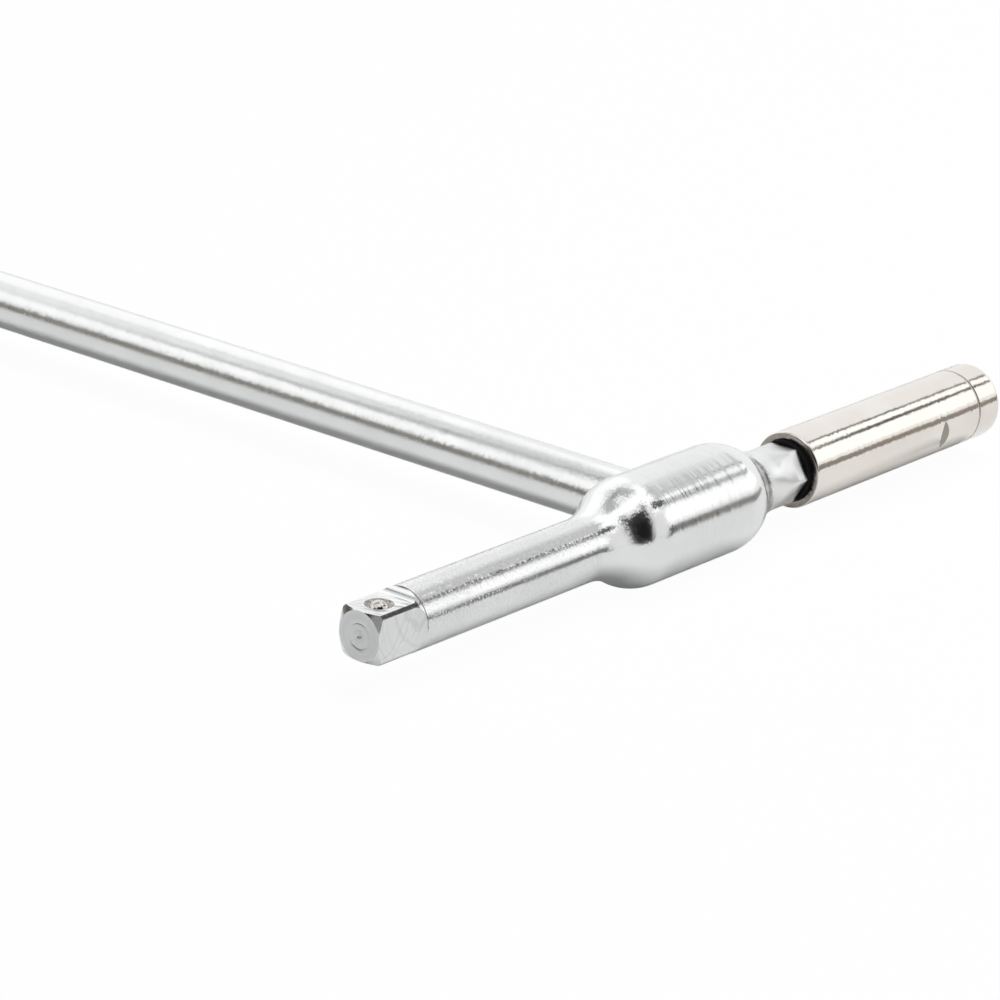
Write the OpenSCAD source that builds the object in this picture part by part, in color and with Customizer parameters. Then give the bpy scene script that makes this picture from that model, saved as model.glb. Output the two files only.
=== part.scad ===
// Drive bar with a crosshead. A long round bar is pressed square into a forged crosshead.
// One arm of the crosshead ends in a square drive with a detent ball. The other arm is a
// hexagon that carries a pull-off sleeve for hexagon bits.
// Frame: the origin is the centre of the square's end face, +X runs along the drive axis
// towards the sleeve, +Y along the bar to its free end, and +Z is up. Lengths are in mm.

/* [Crosshead] */
// Distance from the square's end face to the axis of the bar
drive_reach = 89.2; // [75:0.1:120]
// Diameter of both arms, before the square and the hexagon are milled
arm_d = 12.6; // [11.8:0.1:15]
// Diameter of the barrel
barrel_d = 22; // [19:0.1:26]
// Length of the barrel's straight middle
barrel_len = 25; // [20:0.1:34]
// Radius of the rounded crown at each end of the barrel
crown_r = 12; // [4:0.1:14]
// Radius of the fillet where the crown runs into an arm
root_r = 18; // [10:0.1:30]

/* [Square drive] */
// Width across the flats of the square
square_af = 9.53; // [9:0.01:11]
// Length of the square, from its end face to the shoulder
square_len = 11.5; // [10:0.1:18]
// Fillet between a flat and the shoulder
shoulder_fillet = 2; // [0.2:0.1:2.4]
// Radius of the flat end face, inside the end chamfer
end_face_r = 4.6; // [4:0.05:5.5]
// Length of the end chamfer along the axis
end_chamfer = 0.85; // [0.4:0.05:1.5]
// Radius of the turned centre mark in the end face
centre_r = 0.6; // [0.3:0.1:1.5]
// Depth of the centre mark
centre_depth = 0.5; // [0.2:0.1:1]

/* [Detent] */
// Diameter of the detent ball
ball_d = 4; // [3.5:0.05:4.5]
// Distance from the square's end face to the ball's axis
ball_from_end = 5.1; // [4:0.1:7]
// Gap round the ball in its hole
ball_side_gap = 0.1; // [0.05:0.01:0.2]
// How far the staked lip reaches in over the ball's widest circle
lip_reach = 0.2; // [0.1:0.01:0.4]
// Depth of the staked dish, from the flat down to the lip
dish_depth = 0.4; // [0.1:0.01:0.6]
// Width of the staked dish around the hole
dish_w = 0.95; // [0.5:0.05:1.2]
// Gap between the ball and the lip that stops it
ball_lip_gap = 0.03; // [0.01:0.01:0.06]
// Wall left under the ball's hole
hole_floor = 1.5; // [1:0.1:2.5]
// Wire diameter of the detent spring
spring_wire = 0.5; // [0.3:0.05:0.6]
// Rise of the detent spring in one turn
spring_pitch = 1.07; // [1:0.01:1.5]
// Gap between the spring and the wall of the hole
spring_side_gap = 0.2; // [0.1:0.01:0.4]
// Gap between the spring and what it presses on
spring_seat_gap = 0.05; // [0.02:0.01:0.1]

/* [Hexagon arm] */
// Width across the flats of the hexagon
hex_af = 11; // [10.4:0.1:12.4]
// Distance from the axis of the bar to where the flats reach their full depth
hex_start = 35; // [33:0.5:50]
// Radius of the cutter's run-out at the start of each flat
runout_r = 30; // [5:0.5:30]
// Length of full hexagon in front of the band's groove
hex_land = 0.5; // [0.2:0.1:3]
// Length of the hexagon inside the sleeve
arm_engage = 23.6; // [15:0.1:35]
// Chamfer at the end of the hexagon
arm_chamfer = 1; // [0.4:0.1:2]

/* [Friction band] */
// Width of the rubber band along the arm
band_w = 4; // [3:0.1:6]
// Thickness of the band
band_t = 1.7; // [1.2:0.1:2.2]
// Rounding of the band's outer edges
band_round = 0.4; // [0.2:0.05:0.6]
// Gap on each side of the band in its groove
band_side_gap = 0.1; // [0.05:0.01:0.2]
// Length of the groove that shows in front of the sleeve's mouth
band_show = 1.6; // [0.5:0.1:2.5]

/* [Sleeve] */
// Outer diameter of the sleeve
sleeve_d = 15.7; // [15:0.1:20]
// Rounding of the outer edge at the mouth
mouth_round = 0.5; // [0.2:0.1:0.8]
// Radial gap between the band and the sleeve's mouth
mouth_gap = 0.1; // [0.05:0.01:0.3]
// Depth of the mouth's counterbore past the band's groove
mouth_margin = 0.3; // [0.2:0.1:1]
// Chamfer on the inner edge of the mouth
mouth_chamfer = 0.1; // [0.1:0.1:0.5]
// Gap across the flats between the hexagon arm and its socket
hex_gap = 0.1; // [0.04:0.01:0.2]
// Gap between the end of the arm and the floor of its socket
arm_end_gap = 0.3; // [0.1:0.1:1]
// Solid web between the two sockets, behind the magnet
sleeve_web = 16; // [5:0.5:30]
// Radius of the rounded outer edge at the nose
nose_round = 1.2; // [0.4:0.1:2]

/* [Bit socket] */
// Width across the flats of the bits that the sleeve takes
bit_af = 10; // [8:0.1:10.4]
// Gap across the flats round a bit
bit_gap = 0.1; // [0.05:0.01:0.3]
// Depth of the hexagon for a bit
bit_depth = 20; // [12:0.5:30]
// Lead-in chamfer of the bit's hexagon, past its corners
bit_lead = 0.4; // [0.2:0.1:0.8]
// Diameter of the magnet
magnet_d = 9.2; // [6:0.1:9.6]
// Thickness of the magnet
magnet_t = 4.3; // [2:0.1:8]

/* [Bit clip] */
// Distance from the nose to the clip
clip_from_nose = 7.7; // [4:0.1:10]
// Wire diameter of the clip
clip_wire = 0.6; // [0.4:0.05:0.8]
// Gap between the clip and the walls of its groove
clip_gap = 0.05; // [0.02:0.01:0.1]
// Direction of the clip's bent end, from +Y towards +Z
clip_angle = 330; // [0:5:355]
// Opening between the ends of the clip, in degrees
clip_open = 30; // [15:1:60]
// Reach of the bent end into the bit's hexagon
clip_reach = 0.35; // [0.1:0.05:0.6]

/* [Side notch] */
// Distance from the nose to the notch across the side of the sleeve
notch_from_nose = 20; // [10:0.5:30]
// Width of the notch at its middle
notch_w = 2.7; // [1:0.1:4]
// Depth of the notch
notch_depth = 0.66; // [0.3:0.01:1]
// Direction that the notch faces, from +Y towards +Z
notch_angle = 190; // [0:5:355]

/* [Bar] */
// Diameter of the bar
bar_d = 12; // [11:0.1:14]
// Distance from the drive axis to the free end of the bar
bar_reach = 300; // [200:5:500]
// How much smaller the pressed spigot is than the bar
spigot_step = 1; // [0.5:0.1:3]
// How far the spigot goes past the drive axis
spigot_past = 5; // [2:0.5:7]
// Gap between the barrel's crown line and the start of the full diameter
bar_standoff = 0.2; // [0.1:0.05:1]
// Chamfer at the free end
bar_chamfer = 1.5; // [0.5:0.1:3]
// Lead chamfer on the spigot
spigot_lead = 0.5; // [0.2:0.1:1]

/* [Hidden] */
$fn = 96;
// Segments of each profile arc
arc_steps = 16;
// Overshoot of a cutter past the surface that it opens
over = 1;

arm_r = arm_d / 2;
barrel_r = barrel_d / 2;

// The crown and the root fillet meet at this slope
flare_angle = acos(1 - (barrel_r - arm_r) / (crown_r + root_r));
flare_len = (crown_r + root_r) * sin(flare_angle);
barrel_end = drive_reach + barrel_len / 2;

// Detent, measured up from the drive axis
flat_z = square_af / 2;
ball_r = ball_d / 2;
hole_r = ball_r + ball_side_gap;
lip_r = ball_r - lip_reach;
lip_z = flat_z - dish_depth;
floor_z = hole_floor - flat_z;
ball_z = lip_z - sqrt(pow(ball_r + ball_lip_gap, 2) - pow(lip_r, 2));
coil_r = hole_r - spring_side_gap - spring_wire / 2;
coil_low_z = floor_z + spring_seat_gap + spring_wire / 2;
coil_high_z = ball_z - sqrt(pow(ball_r + spring_seat_gap + spring_wire / 2, 2) - pow(coil_r, 2));
coil_turns = (coil_high_z - coil_low_z) / spring_pitch;

// Places along the drive axis
flats_x = drive_reach + hex_start;
groove_x = flats_x + hex_land;
groove_end_x = groove_x + band_w + 2 * band_side_gap;
groove_r = arm_r - band_t;
mouth_x = groove_x + band_show;
arm_end_x = mouth_x + arm_engage;
socket_floor_x = arm_end_x + arm_end_gap;
magnet_x = socket_floor_x + sleeve_web;
bit_floor_x = magnet_x + magnet_t;
nose_x = bit_floor_x + bit_depth;
clip_x = nose_x - clip_from_nose;
notch_x = nose_x - notch_from_nose;

// Radii of the sleeve and its clip
sleeve_r = sleeve_d / 2;
mouth_r = arm_r + mouth_gap;
clip_groove = clip_wire + 2 * clip_gap;
clip_r = sleeve_r - clip_groove / 2;
bit_corner_r = (bit_af + bit_gap) / 2 / cos(30);

// Bar
bar_r = bar_d / 2;
spigot_r = bar_r - spigot_step / 2;
bar_start = barrel_r + bar_standoff;

// Points of an arc, from angle a0 to a1
function arc(centre, r, a0, a1) =
    [for (i = [0:arc_steps]) let (a = a0 + (a1 - a0) * i / arc_steps) centre + r * [cos(a), sin(a)]];

function without_first(list) = [for (i = [1:len(list) - 1]) list[i]];

// Crown and root fillet on the sleeve's side of the barrel, as [x, radius]
right_flare = concat(
    arc([barrel_end, barrel_r - crown_r], crown_r, 90, 90 - flare_angle),
    without_first(arc([barrel_end + flare_len, arm_r + root_r], root_r, 270 - flare_angle, 270)));

// The same, mirrored about the axis of the bar
left_flare = [for (i = [len(right_flare) - 1:-1:0]) [2 * drive_reach - right_flare[i].x, right_flare[i].y]];

// Solid of revolution about the drive axis, from points given as [x, radius]
module turned(points) {
    rotate([0, 90, 0])
        rotate_extrude()
            polygon([for (p = points) [p.y, p.x]]);
}

// Places children at x on the drive axis, turned so that their +Z faces the angle from +Y towards +Z
module facing(x, angle) {
    translate([x, 0, 0])
        rotate([angle - 90, 0, 0])
            children();
}

// Hexagonal prism along the drive axis with its corners on +Y and -Y
module hex_prism(x0, x1, af) {
    translate([x0, 0, 0])
        rotate([0, 90, 0])
            rotate([0, 0, 90])
                cylinder(h = x1 - x0, r = af / 2 / cos(30), $fn = 6);
}

// Cutter for one flat of the square, on the +Z side, with a filleted shoulder
module square_cut() {
    height = arm_r - flat_z + over;
    difference() {
        translate([-over, -arm_r, flat_z])
            cube([square_len + over, arm_d, height]);
        translate([square_len - shoulder_fillet, -arm_r - over, flat_z - over])
            cube([shoulder_fillet + over, arm_d + 2 * over, shoulder_fillet + over]);
    }
    translate([square_len - shoulder_fillet, 0, flat_z + shoulder_fillet])
        rotate([90, 0, 0])
            cylinder(h = arm_d, r = shoulder_fillet, center = true);
}

// Cutter for one flat of the hexagon, on the +Z side, with a round run-out
module hex_cut() {
    translate([flats_x, -arm_r, hex_af / 2])
        cube([arm_end_x - flats_x + over, arm_d, runout_r]);
    translate([flats_x, 0, hex_af / 2 + runout_r])
        rotate([90, 0, 0])
            cylinder(h = arm_d, r = runout_r, center = true);
}

// Blind hole for the ball and its spring, closed in at the top by the staked lip
module ball_hole() {
    lip_start_z = lip_z - (hole_r - lip_r);
    translate([ball_from_end, 0, 0])
        rotate_extrude()
            polygon([
                [0, floor_z],
                [hole_r, floor_z],
                [hole_r, lip_start_z],
                [lip_r, lip_z],
                [lip_r + dish_w, flat_z],
                [lip_r + dish_w, flat_z + over],
                [0, flat_z + over]]);
}

module crosshead() {
    profile = concat(
        [[centre_depth, 0], [0, centre_r], [0, end_face_r], [end_chamfer, arm_r]],
        left_flare,
        right_flare,
        [[groove_x, arm_r], [groove_x, groove_r], [groove_end_x, groove_r], [groove_end_x, arm_r]],
        [[arm_end_x - arm_chamfer, arm_r], [arm_end_x, arm_r - arm_chamfer], [arm_end_x, 0]]);
    color("silver")
        difference() {
            turned(profile);
            for (side = [0:3])
                rotate([90 * side, 0, 0])
                    square_cut();
            for (side = [0:5])
                rotate([60 * side, 0, 0])
                    hex_cut();
            ball_hole();
            translate([drive_reach, -spigot_past, 0])
                rotate([-90, 0, 0])
                    cylinder(h = spigot_past + barrel_r + over, r = spigot_r);
        }
}

module bar() {
    color("gainsboro")
        translate([drive_reach, 0, 0])
            rotate([-90, 0, 0])
                rotate_extrude()
                    polygon([
                        [0, -spigot_past],
                        [spigot_r - spigot_lead, -spigot_past],
                        [spigot_r, spigot_lead - spigot_past],
                        [spigot_r, bar_start],
                        [bar_r, bar_start],
                        [bar_r, bar_reach - bar_chamfer],
                        [bar_r - bar_chamfer, bar_reach],
                        [0, bar_reach]]);
}

module drive_ball() {
    color("lightsteelblue")
        translate([ball_from_end, 0, ball_z])
            sphere(r = ball_r);
}

// Spring as one unbroken tube along a helix
module drive_spring() {
    rings_per_turn = 8;
    sides = 6;
    last = round(coil_turns * rings_per_turn);
    rise = coil_high_z - coil_low_z;
    angle = 360 * coil_turns;
    centres = [for (i = [0:last]) let (a = angle * i / last)
        [coil_r * cos(a), coil_r * sin(a), coil_low_z + rise * i / last]];
    least_gap = min([for (i = [0:last], j = [0:last]) if (j - i > rings_per_turn / 2)
        norm(centres[j] - centres[i])]) - spring_wire;
    echo(str("least gap between turns of the detent spring: ", least_gap, " mm"));
    points = [for (i = [0:last], k = [0:sides - 1]) let (
            a = angle * i / last,
            b = 360 * k / sides,
            r = coil_r + spring_wire / 2 * cos(b))
        [r * cos(a), r * sin(a), centres[i].z + spring_wire / 2 * sin(b)]];
    walls = [for (i = [0:last - 1], k = [0:sides - 1]) let (
            p = i * sides + k,
            q = i * sides + (k + 1) % sides)
        each [[p, q, q + sides], [p, q + sides, p + sides]]];
    first_cap = [for (k = [1:sides - 2]) [0, k + 1, k]];
    end = last * sides;
    last_cap = [for (k = [1:sides - 2]) [end, end + k, end + k + 1]];
    color("dimgray")
        translate([ball_from_end, 0, 0])
            polyhedron(points, concat(walls, first_cap, last_cap));
}

module arm_band() {
    x0 = groove_x + band_side_gap;
    x1 = x0 + band_w;
    color([0.08, 0.08, 0.08])
        turned(concat(
            [[x1, groove_r], [x0, groove_r]],
            arc([x0 + band_round, arm_r - band_round], band_round, 180, 90),
            arc([x1 - band_round, arm_r - band_round], band_round, 90, 0)));
}

// V-shaped cutter across the +Z side of the sleeve
module notch_cut() {
    rotate([90, 0, 0])
        linear_extrude(height = sleeve_d, center = true)
            polygon([
                [0, sleeve_r - notch_depth],
                [notch_w, sleeve_r + notch_depth],
                [-notch_w, sleeve_r + notch_depth]]);
}

module sleeve() {
    outline = concat(
        [[mouth_x, 0]],
        arc([mouth_x + mouth_round, sleeve_r - mouth_round], mouth_round, 180, 90),
        [[clip_x - clip_groove / 2, sleeve_r], [clip_x - clip_groove / 2, sleeve_r - clip_groove]],
        [[clip_x + clip_groove / 2, sleeve_r - clip_groove], [clip_x + clip_groove / 2, sleeve_r]],
        arc([nose_x - nose_round, sleeve_r - nose_round], nose_round, 90, 0),
        [[nose_x, 0]]);
    counterbore = [
        [mouth_x - over, 0],
        [mouth_x - over, mouth_r + mouth_chamfer],
        [mouth_x, mouth_r + mouth_chamfer],
        [mouth_x + mouth_chamfer, mouth_r],
        [groove_end_x + mouth_margin, mouth_r],
        [groove_end_x + mouth_margin, 0]];
    lead_in = [
        [nose_x - bit_corner_r - bit_lead, 0],
        [nose_x, bit_corner_r + bit_lead],
        [nose_x + over, bit_corner_r + bit_lead],
        [nose_x + over, 0]];
    color("rosybrown")
        difference() {
            turned(outline);
            turned(counterbore);
            hex_prism(mouth_x, socket_floor_x, hex_af + hex_gap);
            translate([magnet_x, 0, 0])
                rotate([0, 90, 0])
                    cylinder(h = magnet_t + over, d = magnet_d);
            hex_prism(bit_floor_x, nose_x + over, bit_af + bit_gap);
            turned(lead_in);
            facing(clip_x, clip_angle)
                cylinder(h = sleeve_r, r = clip_wire / 2 + clip_gap);
            facing(notch_x, notch_angle)
                notch_cut();
        }
}

module bit_magnet() {
    color("slategray")
        translate([magnet_x, 0, 0])
            rotate([0, 90, 0])
                cylinder(h = magnet_t, d = magnet_d);
}

// Wire ring, open between its ends, with one end bent in through the sleeve's wall
module bit_clip() {
    bent_end_r = (bit_af + bit_gap) / 2 - clip_reach;
    wire_r = clip_wire / 2;
    // Turn that keeps the bent end inside the ring's first stretch
    end_turn = asin(clip_wire / clip_r);
    color("gray") {
        facing(clip_x, clip_angle - end_turn)
            rotate([0, 90, 0])
                rotate([0, 0, 180])
                    rotate_extrude(angle = 360 - clip_open)
                        translate([clip_r, 0])
                            circle(r = wire_r);
        facing(clip_x, clip_angle)
            translate([0, 0, bent_end_r])
                cylinder(h = clip_r - bent_end_r, r = wire_r - clip_gap);
    }
}

crosshead();
bar();
drive_ball();
drive_spring();
arm_band();
sleeve();
bit_magnet();
bit_clip();
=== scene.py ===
"""Visual model of a T-shaped drive bar: crosshead, pressed bar, detent and pull-off bit sleeve."""
import math
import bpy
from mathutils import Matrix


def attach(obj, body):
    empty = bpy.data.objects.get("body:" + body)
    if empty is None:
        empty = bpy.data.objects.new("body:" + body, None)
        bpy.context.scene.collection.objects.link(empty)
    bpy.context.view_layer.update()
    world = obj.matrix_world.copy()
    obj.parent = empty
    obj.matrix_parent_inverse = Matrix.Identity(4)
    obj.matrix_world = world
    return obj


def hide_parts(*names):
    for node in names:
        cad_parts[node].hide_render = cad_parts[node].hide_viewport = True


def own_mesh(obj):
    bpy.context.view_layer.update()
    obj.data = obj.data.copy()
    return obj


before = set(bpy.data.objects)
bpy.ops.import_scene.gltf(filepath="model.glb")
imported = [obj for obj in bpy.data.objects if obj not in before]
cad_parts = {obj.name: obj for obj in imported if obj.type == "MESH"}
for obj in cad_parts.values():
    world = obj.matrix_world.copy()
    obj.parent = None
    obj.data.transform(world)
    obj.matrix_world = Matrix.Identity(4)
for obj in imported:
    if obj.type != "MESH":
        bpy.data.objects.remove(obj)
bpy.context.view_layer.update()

from types import SimpleNamespace

import bmesh
import bpy
from mathutils import Matrix, Vector

bl_info = {
    "name": "Drive Bar with Crosshead",
    "version": (1, 0, 0),
    "blender": (4, 5, 0),
    "location": "3D View > Sidebar > Drive Bar",
    "description": "Dresses the packed drive bar with turned, milled and plated pieces",
    "category": "Object",
}

MM = 0.001
TURN = 2 * math.pi
QUARTER = math.pi / 2
X_AXIS = Vector((1, 0, 0))
Y_AXIS = Vector((0, 1, 0))
Z_AXIS = Vector((0, 0, 1))
# Segments round a turned surface, a disc, a hole, a fine hole and the two wires
ROUND_SEGMENTS = 192
DISC_SEGMENTS = 128
HOLE_SEGMENTS = 96
FINE_SEGMENTS = 48
CLIP_SEGMENTS = 16
SPRING_SEGMENTS = 10
# Steps of the profile's arcs, from the flares to the sleeve's nose and mouth and the band
ARC_STEPS = 24
NOSE_STEPS = 14
MOUTH_STEPS = 10
BAND_STEPS = 8
# Steps of the rounding of the two milling cutters and of the magnet's rims
FILLET_STEPS = 24
RUNOUT_STEPS = 180
RIM_STEPS = 3
# Steps of one turn of the spring, of the clip's ring and of its bend
COIL_STEPS = 24
RING_STEPS = 150
BEND_STEPS = 10
# Distance from an arc's end of the loop that keeps a straight part's shading straight
HOLD = 0.05 * MM
# How far a face's middle may lie from the surface that it belongs to
SKIN = 0.05 * MM
# Width of the painted shadow line at the square's shoulder
SHOULDER_LINE = 0.2 * MM
# Share of the right flare's length where the neck's finish starts
NECK_SHARE = 0.7
# Radius of the clip's bend, and rounding of the magnet's rims
CLIP_BEND = 0.42 * MM
MAGNET_ROUND = 0.2 * MM
# Overshoot of a cutter past the surface that it opens, and past the height of its own rounding
OVER = 1 * MM
OVER_ROUNDING = 1.001
# Points closer than this are one, in a new shape and after a cut
SAME = 1e-7
WELD = 1e-6
# Edges sharper than this stay crisp
CRISP_ANGLE = math.radians(28)
# Direction in which marks tilt the surface, along the round of its near upper side
ROUND_LEAN = (0, 0.7, 0.7)


def length(name, millimetres, description):
    """A length property that is written in millimetres."""
    return bpy.props.FloatProperty(
        name=name, description=description, default=millimetres * MM,
        min=0.0, precision=5, subtype="DISTANCE", unit="LENGTH")


def angle(name, degrees, description):
    """An angle property that is written in degrees."""
    return bpy.props.FloatProperty(
        name=name, description=description, default=math.radians(degrees),
        subtype="ANGLE", unit="ROTATION")


def tint(name, colour, description):
    """A linear colour property."""
    return bpy.props.FloatVectorProperty(
        name=name, description=description, default=colour,
        size=3, min=0.0, max=1.0, subtype="COLOR")


def share(name, value, description):
    """A share from 0 to 1."""
    return bpy.props.FloatProperty(
        name=name, description=description, default=value,
        min=0.0, max=1.0, subtype="FACTOR")


class DriveBarSizes(bpy.types.PropertyGroup):
    """Sizes of the drive bar: those of its solids, with an end face 0.2 mm wider in radius."""

    drive_reach: length("Drive reach", 89.2, "Square's end face to the axis of the bar")
    arm_d: length("Arm diameter", 12.6, "Diameter of both arms")
    barrel_d: length("Barrel diameter", 22, "Diameter of the barrel")
    barrel_len: length("Barrel length", 25, "Length of the barrel's straight middle")
    crown_r: length("Crown radius", 12, "Rounded crown at each end of the barrel")
    root_r: length("Root radius", 18, "Fillet where the crown runs into an arm")
    square_af: length("Square", 9.53, "Width across the flats of the square")
    square_len: length("Square length", 11.5, "End face to the shoulder")
    shoulder_fillet: length("Shoulder fillet", 2, "Fillet between a flat and the shoulder")
    end_face_r: length("End face radius", 4.8, "Flat end face inside the chamfer")
    end_chamfer: length("End chamfer", 0.85, "Length of the end chamfer along the axis")
    centre_r: length("Centre mark radius", 0.6, "Turned centre mark in the end face")
    centre_depth: length("Centre mark depth", 0.5, "Depth of the centre mark")
    ball_d: length("Ball diameter", 4, "Diameter of the detent ball")
    ball_from_end: length("Ball place", 5.1, "End face to the ball's axis")
    ball_side_gap: length("Ball gap", 0.1, "Gap round the ball in its hole")
    lip_reach: length("Lip reach", 0.2, "Reach of the staked lip over the ball")
    dish_depth: length("Dish depth", 0.4, "Depth of the staked dish")
    dish_w: length("Dish width", 0.95, "Width of the staked dish")
    ball_lip_gap: length("Lip gap", 0.03, "Gap between the ball and the lip")
    hole_floor: length("Hole floor", 1.5, "Wall left under the ball's hole")
    spring_wire: length("Spring wire", 0.5, "Wire of the detent spring")
    spring_pitch: length("Spring pitch", 1.07, "Rise of the spring in one turn")
    spring_side_gap: length("Spring gap", 0.2, "Gap between the spring and its hole")
    spring_seat_gap: length("Spring seat gap", 0.05, "Gap between the spring and its seats")
    hex_af: length("Hexagon", 11, "Width across the flats of the hexagon arm")
    hex_start: length("Hexagon start", 35, "Bar axis to the full depth of the flats")
    runout_r: length("Run-out radius", 30, "Run-out of the cutter at each flat")
    hex_land: length("Hexagon land", 0.5, "Full hexagon in front of the band")
    arm_engage: length("Engagement", 23.6, "Length of the hexagon inside the sleeve")
    arm_chamfer: length("Arm chamfer", 1, "Chamfer at the end of the hexagon")
    band_w: length("Band width", 4, "Width of the rubber band")
    band_t: length("Band thickness", 1.7, "Thickness of the rubber band")
    band_round: length("Band rounding", 0.4, "Rounding of the band's outer edges")
    band_side_gap: length("Band gap", 0.1, "Gap on each side of the band")
    band_show: length("Band show", 1.6, "Groove that shows in front of the sleeve")
    sleeve_d: length("Sleeve diameter", 15.7, "Outer diameter of the sleeve")
    mouth_round: length("Mouth rounding", 0.5, "Outer edge at the mouth")
    mouth_gap: length("Mouth gap", 0.1, "Radial gap between band and mouth")
    mouth_margin: length("Mouth margin", 0.3, "Counterbore past the band's groove")
    mouth_chamfer: length("Mouth chamfer", 0.1, "Inner edge of the mouth")
    hex_gap: length("Hexagon gap", 0.1, "Gap across the flats in the sleeve")
    arm_end_gap: length("Arm end gap", 0.3, "End of the arm to the socket's floor")
    sleeve_web: length("Sleeve web", 16, "Solid web between the sockets")
    nose_round: length("Nose rounding", 1.2, "Rounded outer edge at the nose")
    bit_af: length("Bit hexagon", 10, "Width across the flats of a bit")
    bit_gap: length("Bit gap", 0.1, "Gap across the flats round a bit")
    bit_depth: length("Bit depth", 20, "Depth of the hexagon for a bit")
    bit_lead: length("Bit lead-in", 0.4, "Lead-in chamfer past the corners")
    magnet_d: length("Magnet diameter", 9.2, "Diameter of the magnet")
    magnet_t: length("Magnet thickness", 4.3, "Thickness of the magnet")
    clip_from_nose: length("Clip place", 7.7, "Nose to the clip")
    clip_wire: length("Clip wire", 0.6, "Wire of the clip")
    clip_gap: length("Clip gap", 0.05, "Gap between the clip and its groove")
    clip_angle: angle("Clip direction", 330, "Direction of the bent end, from +Y towards +Z")
    clip_open: angle("Clip opening", 30, "Opening between the ends of the clip")
    clip_reach: length("Clip reach", 0.35, "Reach of the bent end into the hexagon")
    notch_from_nose: length("Notch place", 20, "Nose to the side notch")
    notch_w: length("Notch width", 2.7, "Width of the notch at its middle")
    notch_depth: length("Notch depth", 0.66, "Depth of the notch")
    notch_angle: angle("Notch direction", 190, "Direction of the notch, from +Y towards +Z")
    bar_d: length("Bar diameter", 12, "Diameter of the bar")
    bar_reach: length("Bar reach", 300, "Drive axis to the bar's free end")
    spigot_step: length("Spigot step", 1, "How much smaller the pressed spigot is")
    spigot_past: length("Spigot past axis", 5, "Spigot past the drive axis")
    bar_standoff: length("Bar stand-off", 0.2, "Barrel's crown line to the full diameter")
    bar_chamfer: length("Bar chamfer", 1.5, "Chamfer at the free end")
    spigot_lead: length("Spigot lead", 0.5, "Lead chamfer on the spigot")
    edge_soft: length("Edge softness", 0.12, "Rounding that plating leaves on an edge")


class DriveBarFinish(bpy.types.PropertyGroup):
    """Colours and polish of the drive bar's pieces."""

    chrome: tint("Chrome", (0.835, 0.845, 0.845), "Plating on the crosshead and the bar")
    chrome_dull: tint("Dull chrome", (0.775, 0.785, 0.785), "Plating where it is a little dull")
    chrome_worn: tint("Worn chrome", (0.56, 0.555, 0.55), "Plating in the grooves of milled faces")
    # Painted shade: a dark colour for the dark reflections on the square's upper corners and its
    # shoulder line
    painted_corner_shade: tint("Corner with painted shade", (0.26, 0.26, 0.255),
                    "Corners that the mill left between the square's flats")
    end_face: tint("End face", (0.68, 0.695, 0.695), "Plating on the square's end face")
    end_face_worn: tint("Worn end face", (0.44, 0.45, 0.46), "Grooves of the square's end face")
    staked: tint("Staked steel", (0.5, 0.465, 0.43), "Bare steel round the ball")
    staked_dark: tint("Staked steel in the depth", (0.06, 0.05, 0.045),
                      "Bare steel in the depth of the dish")
    nickel: tint("Warm nickel", (0.85, 0.815, 0.765), "Plating on the sleeve")
    nickel_dull: tint("Dull nickel", (0.79, 0.745, 0.69), "Sleeve plating where it is a little dull")
    # Darker, warmer colour on the mouth's rim: painted reflection of the shaded barrel and floor
    rim: tint("Rim", (0.5, 0.46, 0.42), "Faced rim of the sleeve's mouth")
    # Darker colour on the notch's wall that faces the mouth: painted shade
    notch: tint("Notch", (0.36, 0.335, 0.3), "Wall of the side notch")
    rubber: tint("Rubber", (0.004, 0.004, 0.004), "Friction band")
    steel: tint("Ball steel", (0.64, 0.63, 0.61), "Detent ball")
    wire: tint("Wire steel", (0.8, 0.77, 0.73), "Clip and spring wire")
    magnet: tint("Magnet plating", (0.6, 0.61, 0.62), "Face of the magnet")
    forging_rough: share("Forging roughness", 0.17, "Roughness of the plated forging")
    bar_rough: share("Bar roughness", 0.22, "Roughness of the ground bar")
    sleeve_rough: share("Sleeve roughness", 0.1, "Roughness of the polished sleeve")


class DriveBarStudio(bpy.types.PropertyGroup):
    """Camera, floor and light of the picture."""

    camera_place: bpy.props.FloatVectorProperty(
        name="Camera place", description="Camera in the object's frame",
        default=(-0.50465, -0.45135, 0.27383), size=3, subtype="TRANSLATION", unit="LENGTH")
    camera_right: bpy.props.FloatVectorProperty(
        name="Camera right", description="Direction to the picture's right",
        default=(0.6498, -0.7592, 0.0373), size=3, subtype="DIRECTION")
    camera_up: bpy.props.FloatVectorProperty(
        name="Camera up", description="Direction to the picture's top",
        default=(0.2380, 0.2499, 0.9386), size=3, subtype="DIRECTION")
    lens: bpy.props.FloatProperty(
        name="Lens", description="Focal length in millimetres on a 36 mm sensor",
        default=148.3, min=1.0)
    floor_tint: tint("Floor", (0.9, 0.9, 0.9), "Plain pale floor")
    key_power: bpy.props.FloatProperty(
        name="Key light", description="Power of the overhead light",
        default=17.0, min=0.0, unit="POWER")
    room_light: share("Room light", 0.25, "Light that the room gives to matt surfaces")


def corner_radius(across_flats):
    """Radius to the corners of a hexagon."""
    return across_flats / 2 / math.cos(math.pi / 6)


def settings_of(context):
    """Sizes, finishes and the lengths that follow from the sizes."""
    sizes = context.scene.drive_bar_sizes
    return sizes, context.scene.drive_bar_finish, places(sizes)


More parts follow.
